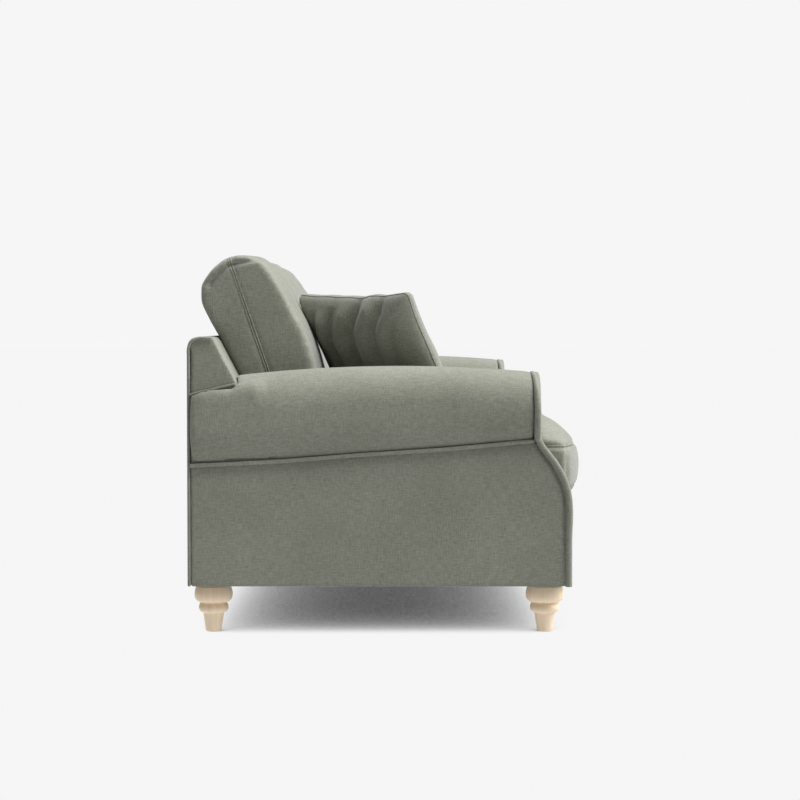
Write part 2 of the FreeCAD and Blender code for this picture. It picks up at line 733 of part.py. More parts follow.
def back_cushions(seats):
    flat, full = back_sections()
    backs = {}
    for name, low, high in cushion_spans():
        def form(inset):
            return crowned(flat, full, low, high, inset)
        raised = form(0)
        raised.translate(lean * size("cover_wall"))
        travel = lean * size("cover_wall") + settled(raised, [seats[name]], -lean)
        cushion_pair(f"back_cushion_{name}", "filling", form, travel)
        backs[name] = form(0)
        backs[name].translate(travel)
    return backs


def scatter_cushions(seats):
    for name, side in SIDES.items():
        turn = Rotation(Vector(0, 0, 1), -side * size("scatter_turn_angle"))
        tilt = Rotation(Vector(1, 0, 0), -size("scatter_lean_angle"))
        raise_by = size("seat_crown") + size("scatter_height") * 0.6
        stand = Placement(Vector(side * size("scatter_across"), size("scatter_behind"), raise_by), turn * tilt)

        def form(inset):
            shape = scatter_form(inset)
            shape.transformShape(stand.toMatrix())
            return shape
        travel = settled(form(0), [seats[name]], Vector(0, 0, -1))
        cushion_pair(f"scatter_cushion_{name}", "filling", form, travel)


base_frame()
corner_blocks()
arm_frame()
back_frame()
seat_straps()
seat_deck()
doc.recompute()
arm_pads()
outside_panels()
back_end_panels()
back_upholstery()
piping()
feet()
seats = seat_cushions()
back_cushions(seats)
scatter_cushions(seats)
doc.recompute()

os.makedirs("parts", exist_ok=True)
for item in nodes:
    if "Invalid" in item.State or "Error" in item.State or item.Shape.isNull() or not item.Shape.isValid():
        raise RuntimeError(f"{item.Label} failed: {item.State}")
for item in nodes:
    item.Shape.exportStep(f"parts/{item.Label}.step")
    bounds = item.Shape.BoundBox
    print(item.Label, len(item.Shape.Solids), round(item.Shape.Volume / 1e6, 3),
          [round(v) for v in (bounds.XMin, bounds.XMax, bounds.YMin, bounds.YMax, bounds.ZMin, bounds.ZMax)])
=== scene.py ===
# English roll arm sofa, dressed for its picture. Metres; +X along the sofa, -Y to the front, +Z up.
import math

import bmesh
import bpy
import numpy as np
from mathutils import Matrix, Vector, noise


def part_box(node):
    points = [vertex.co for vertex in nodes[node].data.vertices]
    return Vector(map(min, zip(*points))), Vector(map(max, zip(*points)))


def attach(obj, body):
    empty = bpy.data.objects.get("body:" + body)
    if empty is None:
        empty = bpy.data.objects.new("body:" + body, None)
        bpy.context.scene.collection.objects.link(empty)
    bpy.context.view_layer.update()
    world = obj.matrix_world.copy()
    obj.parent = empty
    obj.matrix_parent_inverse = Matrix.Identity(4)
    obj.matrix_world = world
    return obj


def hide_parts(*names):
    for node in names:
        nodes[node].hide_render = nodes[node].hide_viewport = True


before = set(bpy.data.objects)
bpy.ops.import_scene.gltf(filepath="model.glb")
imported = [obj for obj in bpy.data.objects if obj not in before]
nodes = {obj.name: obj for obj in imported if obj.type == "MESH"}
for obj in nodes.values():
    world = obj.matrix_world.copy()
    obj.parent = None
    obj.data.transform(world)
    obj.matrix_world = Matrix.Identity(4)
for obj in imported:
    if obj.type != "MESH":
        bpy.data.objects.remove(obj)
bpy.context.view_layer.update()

SIDES = {"left": -1, "right": 1}


# The studio: a glowing white floor with a painted contact shadow, its glow dimmed by occlusion under the
# sofa, light from above and the front, and a camera level with the seat that looks along the sofa at its
# left end.
def link(name, data):
    thing = bpy.data.objects.new(name, data)
    bpy.context.scene.collection.objects.link(thing)
    return thing


def shaded(name, colour, roughness):
    """A material, its node tree and its surface shader."""
    material = bpy.data.materials.new(name)
    material.use_nodes = True
    shader = material.node_tree.nodes["Principled BSDF"]
    shader.inputs["Base Color"].default_value = (*colour, 1)
    shader.inputs["Roughness"].default_value = roughness
    return material, material.node_tree, shader


camera = link("camera", bpy.data.cameras.new("camera"))
camera.location = (-6.083, -0.0327, 0.776)
camera.rotation_euler = (math.radians(87.891), 0, math.radians(-90))
camera.data.lens = 92.88
camera.data.clip_end = 400
bpy.context.scene.camera = camera

for name, strength, spread, tip in (("overhead", 5.0, 60, 22), ("front", 1.9, 60, 55)):
    light = link(f"{name}_light", bpy.data.lights.new(f"{name}_light", "SUN"))
    light.data.energy = strength
    light.data.angle = math.radians(spread)
    light.rotation_euler = (math.radians(tip), 0, 0)

world = bpy.data.worlds.new("studio")
world.use_nodes = True
world.node_tree.nodes["Background"].inputs["Color"].default_value = (1, 1, 1, 1)
world.node_tree.nodes["Background"].inputs["Strength"].default_value = 0.08
bpy.context.scene.world = world
bpy.context.scene.view_settings.view_transform = "Standard"

floor_shape = bmesh.new()
bmesh.ops.create_circle(floor_shape, cap_ends=True, segments=96, radius=60)
floor = link("floor", bpy.data.meshes.new("floor"))
floor_shape.to_mesh(floor.data)
floor_glow, tree, shader = shaded("floor_glow_painted_shadow", (0, 0, 0), 1)
shader.inputs["Specular IOR Level"].default_value = 0
floor_glow.cycles.emission_sampling = "NONE"
# Painted contact shadow: the floor's glow is dimmed wherever ambient occlusion finds the sofa close above
# it.
painted_shadow_occlusion = tree.nodes.new("ShaderNodeAmbientOcclusion")
painted_shadow_occlusion.samples = 12
painted_shadow_occlusion.inputs["Distance"].default_value = 0.6
bright = tree.nodes.new("ShaderNodeMath")
bright.operation = "MULTIPLY"
bright.use_clamp = True
bright.inputs[1].default_value = 2.8
tree.links.new(painted_shadow_occlusion.outputs["AO"], bright.inputs[0])
tree.links.new(bright.outputs[0], shader.inputs["Emission Strength"])
shader.inputs["Emission Color"].default_value = (0.918, 0.918, 0.918, 1)
floor.data.materials.append(floor_glow)

backdrop_shape = bmesh.new()
bmesh.ops.create_uvsphere(backdrop_shape, u_segments=48, v_segments=24, radius=90)
backdrop = link("backdrop", bpy.data.meshes.new("backdrop"))
backdrop_shape.to_mesh(backdrop.data)
glow, tree, shader = shaded("backdrop_glow", (0, 0, 0), 1)
shader.inputs["Emission Color"].default_value = (0.916, 0.916, 0.916, 1)
shader.inputs["Emission Strength"].default_value = 1
backdrop.data.materials.append(glow)
for ray in ("diffuse", "glossy", "transmission", "volume_scatter", "shadow"):
    setattr(backdrop, f"visible_{ray}", False)


# The timber frame: rails, braces, posts and blocks of planed beech, glued and screwed.
# All of it is hidden under the upholstery, so the boards stay as they are cut.
def node(tree, kind, **settings):
    """A shader node with its named inputs set."""
    made = tree.nodes.new(kind)
    for key, value in settings.items():
        made.inputs[key.replace("_", " ")].default_value = value
    return made


def ramp(tree, low, high, start=0.0, end=1.0):
    """A colour ramp from one colour to another."""
    made = tree.nodes.new("ShaderNodeValToRGB")
    made.color_ramp.elements[0].position = start
    made.color_ramp.elements[0].color = (*low, 1)
    made.color_ramp.elements[1].position = end
    made.color_ramp.elements[1].color = (*high, 1)
    return made


def wood(name, low, high, along, roughness):
    """Straight grain along one axis, with faint pores."""
    material, tree, shader = shaded(name, low, roughness)
    place = tree.nodes.new("ShaderNodeTexCoord")
    stretch = node(tree, "ShaderNodeMapping", Scale=tuple(4 if axis == along else 90 for axis in "XYZ"))
    grain = node(tree, "ShaderNodeTexNoise", Scale=1.0, Detail=6.0, Roughness=0.6)
    tint = ramp(tree, low, high, 0.3, 0.7)
    bump = node(tree, "ShaderNodeBump", Strength=0.25, Distance=0.0006)
    wire = tree.links.new
    wire(place.outputs["Object"], stretch.inputs["Vector"])
    wire(stretch.outputs["Vector"], grain.inputs["Vector"])
    wire(grain.outputs["Fac"], tint.inputs["Fac"])
    wire(tint.outputs["Color"], shader.inputs["Base Color"])
    wire(grain.outputs["Fac"], bump.inputs["Height"])
    wire(bump.outputs["Normal"], shader.inputs["Normal"])
    return material


def finish_node(name, material):
    """Give a carried-over piece a better finish."""
    piece = nodes[name]
    if not piece.material_slots:
        piece.data.materials.append(material)
    for held in piece.material_slots:
        held.material = material


boards = {
    "X": ("front_rail", "back_rail", "back_top_rail", "corner_blocks"),
    "Y": ("side_rail_left", "side_rail_right", "seat_cross_braces", "arm_top_rail_left",
          "arm_top_rail_right"),
    "Z": ("arm_front_post_left", "arm_front_post_right", "back_uprights", "back_posts"),
}
for along, names in boards.items():
    beech = wood(f"beech_along_{along.lower()}", (0.42, 0.27, 0.14), (0.62, 0.44, 0.27), along,
                 roughness=0.65)
    for name in names:
        finish_node(name, beech)


# Webbing, plates and bolts: elastic straps woven with a stripe, stapled to the rails, and
# zinc-plated plates and hanger bolts that hold the feet to the corner blocks.
def banded(name, low, high, pitch, axis, roughness, depth):
    """Fine ribs across one axis."""
    material, tree, shader = shaded(name, low, roughness)
    place = tree.nodes.new("ShaderNodeTexCoord")
    ribs = node(tree, "ShaderNodeTexWave", Scale=1 / pitch / 20 * math.tau, Distortion=0.6, Detail=2.0)
    ribs.bands_direction = axis
    tint = ramp(tree, low, high, 0.2, 0.8)
    bump = node(tree, "ShaderNodeBump", Strength=0.6, Distance=depth)
    wire = tree.links.new
    wire(place.outputs["Object"], ribs.inputs["Vector"])
    wire(ribs.outputs["Fac"], tint.inputs["Fac"])
    wire(tint.outputs["Color"], shader.inputs["Base Color"])
    wire(ribs.outputs["Fac"], bump.inputs["Height"])
    wire(bump.outputs["Normal"], shader.inputs["Normal"])
    return material


WEBBING = (("webbing_front_to_back", "webbing_long", "Y"), ("webbing_side_to_side", "webbing_cross", "X"))
for name, strap, axis in WEBBING:
    finish_node(name, banded(strap, (0.07, 0.05, 0.03), (0.20, 0.15, 0.09), pitch=0.004, axis=axis,
                             roughness=0.85, depth=0.0006))
zinc, tree, shader = shaded("zinc", (0.55, 0.56, 0.57), 0.38)
shader.inputs["Metallic"].default_value = 1
place = tree.nodes.new("ShaderNodeTexCoord")
spangle = node(tree, "ShaderNodeTexVoronoi", Scale=260.0)
zinc_tint = ramp(tree, (0.46, 0.47, 0.49), (0.64, 0.65, 0.66))
tree.links.new(place.outputs["Object"], spangle.inputs["Vector"])
tree.links.new(spangle.outputs["Color"], zinc_tint.inputs["Fac"])
tree.links.new(zinc_tint.outputs["Color"], shader.inputs["Base Color"])
for name in ("foot_plates", "foot_bolts"):
    finish_node(name, zinc)


# Feet: turned from pale, close-grained wood with a satin oil finish. A plump bulge sits on
# a ring and a tapered toe, and each foot screws up into its corner block. Each point of the
# profile is a radius and a height.
FOOT_PROFILE = ((0, 0), (0.0172, 0), (0.0190, 0.0012), (0.0198, 0.0035), (0.0262, 0.0462), (0.0268, 0.0478),
                (0.0275, 0.0482), (0.0318, 0.0490), (0.0352, 0.0520), (0.0372, 0.0566), (0.0375, 0.0612),
                (0.0366, 0.0658), (0.0346, 0.0700), (0.0316, 0.0726), (0.0318, 0.0734), (0.0390, 0.0750),
                (0.0440, 0.0790), (0.0472, 0.0850), (0.0482, 0.0920), (0.0480, 0.0990), (0.0466, 0.1060),
                (0.0446, 0.1125), (0.0430, 0.1180), (0, 0.1180))


def spun(name, profile, centre, steps):
    """A solid turned about an upright line through the centre."""
    shape = bmesh.new()
    points = [shape.verts.new((radius + centre[0], centre[1], height)) for radius, height in profile]
    edges = [shape.edges.new(pair) for pair in zip(points, points[1:])]
    bmesh.ops.spin(shape, geom=points + edges, cent=(*centre, 0), axis=(0, 0, 1), angle=math.tau,
                   steps=steps, use_merge=True)
    bmesh.ops.remove_doubles(shape, verts=shape.verts, dist=1e-5)
    bmesh.ops.recalc_face_normals(shape, faces=shape.faces)
    piece = link(name, bpy.data.meshes.new(name))
    shape.to_mesh(piece.data)
    piece.data.polygons.foreach_set("use_smooth", [True] * len(piece.data.polygons))
    return piece


pale_wood = wood("pale_foot_wood", (0.88, 0.68, 0.46), (0.96, 0.80, 0.60), along="Z", roughness=0.42)
for row in ("front", "back"):
    for side in SIDES:
        low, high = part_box(f"foot_{row}_{side}")
        middle = (low + high) / 2
        foot = spun(f"turned_foot_{row}_{side}", FOOT_PROFILE, (middle.x, middle.y), steps=48)
        foot.data.materials.append(pale_wood)
        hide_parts(f"foot_{row}_{side}")
        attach(foot, "sofa_frame")


# Dust cover: thin black cloth, stretched and stapled under the base so that the webbing and
# the inside of the frame don't show from below.
def copied(name, source):
    """A new piece with a node's mesh, its doubles merged."""
    shape = bmesh.new()
    shape.from_mesh(nodes[source].data)
    bmesh.ops.remove_doubles(shape, verts=shape.verts, dist=1e-5)
    piece = link(name, bpy.data.meshes.new(name))
    shape.to_mesh(piece.data)
    if "custom_normal" in piece.data.attributes:
        piece.data.attributes.remove(piece.data.attributes["custom_normal"])
    piece.data.polygons.foreach_set("use_smooth", [True] * len(piece.data.polygons))
    return piece


def applied(piece):
    """Turn what a piece's modifiers make into its own mesh."""
    graph = bpy.context.evaluated_depsgraph_get()
    piece.data = bpy.data.meshes.new_from_object(piece.evaluated_get(graph))
    piece.modifiers.clear()
    piece.data.polygons.foreach_set("use_smooth", [True] * len(piece.data.polygons))


def thread_sets(tree, across, along):
    """Noise drawn out along each axis in turn, so that crossing threads show on every face."""
    place = tree.nodes.new("ShaderNodeTexCoord")
    total = None
    for axis in "XYZ":
        scale = tuple(along if a == axis else across for a in "XYZ")
        stretch = node(tree, "ShaderNodeMapping", Scale=scale)
        threads = node(tree, "ShaderNodeTexNoise", Scale=1.0, Detail=2.0, Roughness=0.55)
        tree.links.new(place.outputs["Object"], stretch.inputs["Vector"])
        tree.links.new(stretch.outputs["Vector"], threads.inputs["Vector"])
        if total is None:
            total = threads.outputs["Fac"]
        else:
            add = tree.nodes.new("ShaderNodeMath")
            tree.links.new(total, add.inputs[0])
            tree.links.new(threads.outputs["Fac"], add.inputs[1])
            total = add.outputs[0]
    return place, total


def cloth(name, dark, light, across, along, sheen, depth):
    """Woven cloth: crossing slubs, a fine even weave, a slow drift of tone, and a soft nap."""
    material, tree, shader = shaded(name, light, 0.92)
    shader.inputs["Sheen Weight"].default_value = sheen
    shader.inputs["Sheen Roughness"].default_value = 0.45
    shader.inputs["Sheen Tint"].default_value = (0.84, 0.86, 0.94, 1)
    shader.inputs["Specular IOR Level"].default_value = 0.25
    place, slubs = thread_sets(tree, across, along)
    tint = ramp(tree, dark, light, 1.17 / 3, 1.83 / 3)
    share = tree.nodes.new("ShaderNodeMath")
    share.operation = "DIVIDE"
    share.inputs[1].default_value = 3
    drift = node(tree, "ShaderNodeTexNoise", Scale=7.0, Detail=3.0)
    tone = ramp(tree, (0.93, 0.93, 0.92), (1.06, 1.06, 1.07), 0.3, 0.7)
    both = tree.nodes.new("ShaderNodeMix")
    both.data_type = "RGBA"
    both.blend_type = "MULTIPLY"
    both.inputs["Factor"].default_value = 1
    weave = node(tree, "ShaderNodeTexVoronoi", Scale=900.0)
    heights = tree.nodes.new("ShaderNodeMath")
    bump = node(tree, "ShaderNodeBump", Strength=0.55, Distance=depth)
    wire = tree.links.new
    wire(slubs, share.inputs[0])
    wire(share.outputs[0], tint.inputs["Fac"])
    wire(place.outputs["Object"], drift.inputs["Vector"])
    wire(drift.outputs["Fac"], tone.inputs["Fac"])
    wire(tint.outputs["Color"], both.inputs["A"])
    wire(tone.outputs["Color"], both.inputs["B"])
    wire(both.outputs["Result"], shader.inputs["Base Color"])
    wire(place.outputs["Object"], weave.inputs["Vector"])
    wire(weave.outputs["Distance"], heights.inputs[0])
    wire(slubs, heights.inputs[1])
    wire(heights.outputs[0], bump.inputs["Height"])
    wire(bump.outputs["Normal"], shader.inputs["Normal"])
    return material


black_cloth = cloth("black_dust_cloth", (0.012, 0.012, 0.012), (0.03, 0.03, 0.03),
                    across=900, along=300, sheen=0.1, depth=0.0003)
dust = copied("stretched_dust_cover", "dust_cover")
dust.data.materials.append(black_cloth)
low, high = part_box("dust_cover")
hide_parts("dust_cover")
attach(dust, "sofa_frame")


# Seat platform: a firm pad over the webbing under a stretched cloth of the sofa's own fabric.
# It shows when a seat cushion is pulled out.
def smoothed(piece, rounds):
    """Ease a piece's surface without moving it as a whole."""
    shape = bmesh.new()
    shape.from_mesh(piece.data)
    for _ in range(rounds):
        bmesh.ops.smooth_vert(shape, verts=shape.verts, factor=0.5, use_axis_x=True,
                              use_axis_y=True, use_axis_z=True)
    shape.to_mesh(piece.data)
    shape.free()


def remeshed(piece, voxel):
    """Give a piece an even skin of small squares."""
    modifier = piece.modifiers.new("even_skin", "REMESH")
    modifier.mode = "VOXEL"
    modifier.voxel_size = voxel
    applied(piece)


def covered(name, source, material, voxel, rounds):
    """A firm upholstered piece: its form with soft edges, in its cloth."""
    piece = copied(name, source)
    remeshed(piece, voxel)
    smoothed(piece, rounds)
    piece.data.materials.append(material)
    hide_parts(source)
    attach(piece, "sofa_frame")
    return piece


sage = cloth("sage_cloth", (0.184, 0.189, 0.149), (0.288, 0.294, 0.246),
             across=400, along=50, sheen=0.36, depth=0.0005)
cream_foam = cloth("cream_foam", (0.62, 0.56, 0.40), (0.72, 0.66, 0.50),
                   across=500, along=500, sheen=0.0, depth=0.0008)
covered("seat_platform_foam", "seat_platform_pad", cream_foam, voxel=0.012, rounds=2)
deck = copied("seat_platform_cloth", "seat_platform_cover")
deck.data.materials.append(sage)
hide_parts("seat_platform_cover")
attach(deck, "sofa_frame")


# Arms: a wide roll over a timber rail, padded all round and covered in one width of cloth
# that is pulled down over the inside arm and tacked under the roll.
def coordinates(mesh):
    """Every point's place, one row each."""
    flat = np.empty(len(mesh.vertices) * 3)
    mesh.vertices.foreach_get("co", flat)
    return flat.reshape(-1, 3)


def normals(mesh):
    """The outward direction at every point, one row each."""
    flat = np.empty(len(mesh.vertices) * 3)
    mesh.vertices.foreach_get("normal", flat)
    return flat.reshape(-1, 3)


def set_coordinates(mesh, points):
    """Put every point in its new place."""
    mesh.vertices.foreach_set("co", points.ravel())
    mesh.update()


def pressed(piece, line, facing, depth, width):
    """Press a valley along a line, seen from one side, or raise a fold where the depth is below
    zero. It fades out at both ends of the line and where the skin turns away from that side."""
    facing = np.array(Vector(facing).normalized())
    points = coordinates(piece.data)
    outward = normals(piece.data)
    flat = points - np.outer(points @ facing, facing)
    marks = [np.array(mark) - (np.array(mark) @ facing) * facing for mark in line]
    nearest = np.full(len(points), 9.0)
    taper = np.zeros(len(points))
    for index, (a, b) in enumerate(zip(marks, marks[1:])):
        along = np.clip((flat - a) @ (b - a) / ((b - a) @ (b - a)), 0, 1)
        gap = np.linalg.norm(flat - (a + along[:, None] * (b - a)), axis=1)
        taper = np.where(gap < nearest, (index + along) / (len(marks) - 1), taper)
        nearest = np.minimum(gap, nearest)
    ends = np.clip(6 * np.minimum(taper, 1 - taper), 0.15, 1)
    push = depth * np.exp(-(nearest / width) ** 2) * ends * np.clip(2 * (outward @ facing) + 0.4, 0, 1)
    set_coordinates(piece.data, points - outward * push[:, None])


# The padding stands fuller where the roll passes the end of the back.
SHOULDER_LINE = ((0.497, 0.596), (0.440, 0.606), (0.385, 0.615), (0.350, 0.619), (0.290, 0.624))
SHOULDER_SIDE = 0.965
SHOULDER_RISE = -0.013
SHOULDER_WIDTH = 0.030
for side, sign in SIDES.items():
    arm = covered(f"rolled_arm_{side}", f"arm_pad_{side}", sage,
                  voxel=0.007, rounds=6)
    shoulder = [(sign * SHOULDER_SIDE, y, z) for y, z in SHOULDER_LINE]
    pressed(arm, shoulder, (sign * 0.6, 0, 0.8), SHOULDER_RISE, SHOULDER_WIDTH)
    covered(f"scroll_facing_{side}", f"arm_facing_{side}", sage,
            voxel=0.004, rounds=5)


# Outside arms and back: cloth over thin wadding on boards, with a sunk seam behind the swept
# front edge. The end of the back stands above the arm, and the inside back is padded.
SWEEP = ((-0.4625, 0.121), (-0.4625, 0.230), (-0.4625, 0.339), (-0.4545, 0.3765), (-0.4297, 0.426),
         (-0.4070, 0.4560), (-0.3925, 0.4757), (-0.3850, 0.495), (-0.3826, 0.513), (-0.3826, 0.545))
SEAM_BEHIND = 0.0190
SEAM_DEPTH = 0.0055
SEAM_WIDTH = 0.0045
for side, sign in SIDES.items():
    panel = covered(f"outside_arm_{side}", f"outside_arm_panel_{side}", sage,
                    voxel=0.0045, rounds=4)
    seam = [(sign, y + SEAM_BEHIND, z) for y, z in SWEEP]
    pressed(panel, seam, (sign, 0, 0), SEAM_DEPTH, SEAM_WIDTH)
    covered(f"back_end_{side}", f"back_end_panel_{side}", sage,
            voxel=0.005, rounds=4)
covered("inside_back", "inside_back_pad", sage, voxel=0.009, rounds=3)
SLAB_SQUARE = 0.03


def slab(name, source, soft):
    """A thin upholstered board with soft edges."""
    low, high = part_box(source)
    shape = bmesh.new()
    bmesh.ops.create_cube(shape, size=1)
    bmesh.ops.scale(shape, vec=high - low, verts=shape.verts)
    bmesh.ops.translate(shape, vec=(high + low) / 2, verts=shape.verts)
    bmesh.ops.bevel(shape, geom=shape.edges, offset=soft, offset_type="OFFSET", segments=3, profile=0.5,
                    affect="EDGES", clamp_overlap=True, material=-1)
    for axis, reach in ((Vector((1, 0, 0)), (low.x, high.x)), (Vector((0, 0, 1)), (low.z, high.z))):
        count = int((reach[1] - reach[0]) / SLAB_SQUARE)
        for index in range(1, count):
            at = axis * (reach[0] + (reach[1] - reach[0]) * index / count)
            bmesh.ops.bisect_plane(shape, geom=shape.verts[:] + shape.edges[:] + shape.faces[:],
                                   plane_co=at, plane_no=axis)
    piece = link(name, bpy.data.meshes.new(name))
    shape.to_mesh(piece.data)
    piece.data.polygons.foreach_set("use_smooth", [True] * len(piece.data.polygons))
    piece.data.materials.append(sage)
    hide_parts(source)
    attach(piece, "sofa_frame")


slab("outside_back", "outside_back_panel", soft=0.0035)
slab("front_border_panel", "front_border", soft=0.006)


# Piping and rolled edges: cord in bias-cut strips of the same cloth, sewn into the seams
# under each roll, round the scroll faces, down the swept front edges and round the back ends.
def cord_piece(name, points, radius, source, closed=False, thins=None):
    """A sewn-in cord that runs smoothly through its points, thinner where asked."""
    line = bpy.data.curves.new(name, "CURVE")
    line.dimensions = "3D"
    line.bevel_depth = radius
    line.bevel_resolution = 3
    line.resolution_u = 3 if closed else 12
    line.use_fill_caps = True
    run = line.splines.new("BEZIER")
    run.bezier_points.add(len(points) - 1)
    for knot, point, share in zip(run.bezier_points, points, thins or [1] * len(points)):
        knot.co = point
        knot.radius = share
        knot.handle_left_type = knot.handle_right_type = "AUTO"
    run.use_cyclic_u = closed
    piece = link(name, line)
    graph = bpy.context.evaluated_depsgraph_get()
    skin = bpy.data.meshes.new_from_object(piece.evaluated_get(graph))
    bpy.data.objects.remove(piece)
    piece = link(name, skin)
    piece.data.polygons.foreach_set("use_smooth", [True] * len(piece.data.polygons))
    piece.data.materials.append(sage)
    if source:
        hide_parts(source)
        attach(piece, "sofa_frame")
    return piece


UNDER_ROLL = ((-0.366, 0.4858), (-0.152, 0.4653), (0.062, 0.4508), (0.276, 0.4343), (0.4895, 0.4238))
UNDER_ROLL_SIDE = 0.9612
UNDER_ROLL_CORD = 0.0052
EDGE_CORD = 0.0085
EDGE_SIDE = 0.9548
# Each point round the scroll face: across, forward, up, and the cord's share of its thickness.
SCROLL = ((0.7885, -0.3745, 0.40, 1), (0.7885, -0.3745, 0.48, 1), (0.7885, -0.3745, 0.556, 1),
          (0.8143, -0.3705, 0.6245, 0.8), (0.885, -0.3650, 0.6525, 0.62), (0.9536, -0.3705, 0.6285, 0.8),
          (0.982, -0.3740, 0.5705, 1), (0.9752, -0.3745, 0.518, 1), (0.958, -0.3745, 0.487, 1))
BACK_END = ((0.4925, 0.638), (0.4925, 0.690), (0.4925, 0.717), (0.4850, 0.7320), (0.4695, 0.7400),
            (0.4365, 0.7400))
BACK_END_SIDE = 0.9595
BACK_END_CORD = 0.0035
ARM_JOINT = ((0.4885, 0.601), (0.4327, 0.614), (0.3780, 0.627))
ARM_JOINT_SIDE = 0.958
ARM_JOINT_CORD = 0.0032
for side, sign in SIDES.items():
    under = [Vector((sign * UNDER_ROLL_SIDE, y, z)) for y, z in UNDER_ROLL]
    cord_piece(f"under_roll_cord_{side}", under, UNDER_ROLL_CORD, f"under_roll_piping_{side}")
    band = [Vector((sign * EDGE_SIDE, y + EDGE_CORD, z)) for y, z in SWEEP]
    cord_piece(f"front_edge_roll_{side}", band, EDGE_CORD, f"front_edge_piping_{side}")
    facing = [Vector((sign * x, y, z)) for x, y, z, _ in SCROLL]
    thins = [share for *_, share in SCROLL]
    cord_piece(f"scroll_edge_roll_{side}", facing, EDGE_CORD, f"arm_facing_piping_{side}", thins=thins)
    end = [Vector((sign * BACK_END_SIDE, y, z)) for y, z in BACK_END]
    cord_piece(f"back_end_cord_{side}", end, BACK_END_CORD, f"back_end_piping_{side}")
    meeting = [Vector((sign * ARM_JOINT_SIDE, y, z)) for y, z in ARM_JOINT]
    joint_cord = cord_piece(f"arm_joint_cord_{side}", meeting, ARM_JOINT_CORD, None)
    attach(joint_cord, "sofa_frame")


# Loose seat cushions: foam wrapped in fibre inside boxed covers of the sofa's cloth. They lie
# on the platform, and the outer two reach in front of the arms.
DRAWN_IN = 0.004
COVER_PRESSURE = 4
CLOTH_STEPS = 20


def plumped(piece, room):
    """Blow the cover up a little as its filling would: no point passes its room or sinks in."""
    start = coordinates(piece.data)
    outward = normals(piece.data)
    limit = room(start, outward)
    blown = piece.modifiers.new("cover_cloth", "CLOTH")
    blown.settings.use_pressure = True
    blown.settings.uniform_pressure_force = COVER_PRESSURE
    blown.settings.effector_weights.gravity = 0
    blown.settings.quality = 3
    for number in range(1, CLOTH_STEPS + 1):
        bpy.context.scene.frame_set(number)
    applied(piece)
    bpy.context.scene.frame_set(1)
    moved = coordinates(piece.data) - start
    length = np.linalg.norm(moved, axis=1)
    moved *= np.minimum(1, limit / np.maximum(length, 1e-9))[:, None]
    slack = np.maximum(0, 0.5 * (DRAWN_IN + limit) - (moved * outward).sum(1))
    set_coordinates(piece.data, start + moved + outward * slack[:, None])


def kept_inside(piece, source, spare=(0, 0, 0, 0, 0, 0)):
    """Flatten a piece where it would leave the space of the solid it stands for, with some spare
    room, or less room where below zero, at the lows and then the highs of that space."""
    low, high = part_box(source)
    points = coordinates(piece.data)
    lows = np.array(low) - np.array(spare[:3])
    highs = np.array(high) + np.array(spare[3:])
    set_coordinates(piece.data, np.clip(points, lows, highs))


def pinched(piece, point, facing, depth, width):
    """Draw a cover in along the seam where a plane cuts it."""
    points = coordinates(piece.data)
    gap = (points - np.array(point)) @ np.array(Vector(facing).normalized())
    push = depth * np.exp(-(gap / width) ** 2)
    set_coordinates(piece.data, points - normals(piece.data) * push[:, None])


def rumpled(piece, seed, height, grain):
    """The slow unevenness of a stuffed cover."""
    points = coordinates(piece.data)
    push = np.array([noise.noise(Vector(p) * grain + Vector((seed, 0, 0))) for p in points]) * height
    set_coordinates(piece.data, points + normals(piece.data) * push[:, None])


WELT_STEP = 0.007


def seam_welt(name, piece, point, facing, radius, body):
    """A thin raised seam round a cushion, where a plane cuts its cover."""
    shape = bmesh.new()
    shape.from_mesh(piece.data)
    whole = shape.verts[:] + shape.edges[:] + shape.faces[:]
    bmesh.ops.bisect_plane(shape, geom=whole, plane_co=point, plane_no=facing, clear_inner=True,
                           clear_outer=True)
    loops = []
    waiting = dict.fromkeys(shape.verts)
    while waiting:
        here = next(iter(waiting))
        loop = []
        while here:
            del waiting[here]
            loop.append(here)
            beside = [edge.other_vert(here) for edge in here.link_edges]
            here = next((corner for corner in beside if corner in waiting), None)
        loops.append([corner.co.copy() for corner in loop])
    ring = max(loops, key=len)
    low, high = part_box(f"{body}_cover")
    for mark in ring:
        mark.x = min(max(mark.x, low.x + radius), high.x - radius)
    length = sum((b - a).length for a, b in zip(ring, ring[1:]))
    stride = max(1, round(len(ring) / (length / WELT_STEP)))
    welt = cord_piece(name, ring[::stride], radius, None, closed=True)
    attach(welt, body)


def skin_of(name, source, voxel):
    """The outside of a hollow cover, drawn in a little so that it can swell."""
    piece = copied(name, source)
    shape = bmesh.new()
    shape.from_mesh(piece.data)
    waiting = set(shape.verts)
    shells = []
    while waiting:
        shell = [waiting.pop()]
        for corner in shell:
            for edge in corner.link_edges:
                other = edge.other_vert(corner)
                if other in waiting:
                    waiting.discard(other)
                    shell.append(other)
        shells.append(shell)
    outer = set(max(shells, key=lambda shell: max(v.co.x for v in shell) - min(v.co.x for v in shell)))
    bmesh.ops.delete(shape, geom=[v for v in shape.verts if v not in outer], context="VERTS")
    shape.to_mesh(piece.data)
    remeshed(piece, voxel)
    points = coordinates(piece.data)
    set_coordinates(piece.data, points - normals(piece.data) * DRAWN_IN)
    return piece


FILLING_SHARE = 0.94
FILLING_GAP = 0.010


def filled(name, source, material, body):
    """The filling inside a cover, a little smaller than the space it has."""
    filling = copied(name, source)
    remeshed(filling, voxel=0.016)
    smoothed(filling, rounds=3)
    low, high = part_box(source)
    middle = np.array((low + high) / 2)
    points = middle + FILLING_SHARE * (coordinates(filling.data) - middle)
    set_coordinates(filling.data, points - normals(filling.data) * FILLING_GAP)
    filling.data.materials.append(material)
    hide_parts(source)
    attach(filling, body)


def subdivided(piece):
    """Halve the squares of a piece's skin."""
    modifier = piece.modifiers.new("finer", "SUBSURF")
    modifier.levels = modifier.render_levels = 1
    applied(piece)


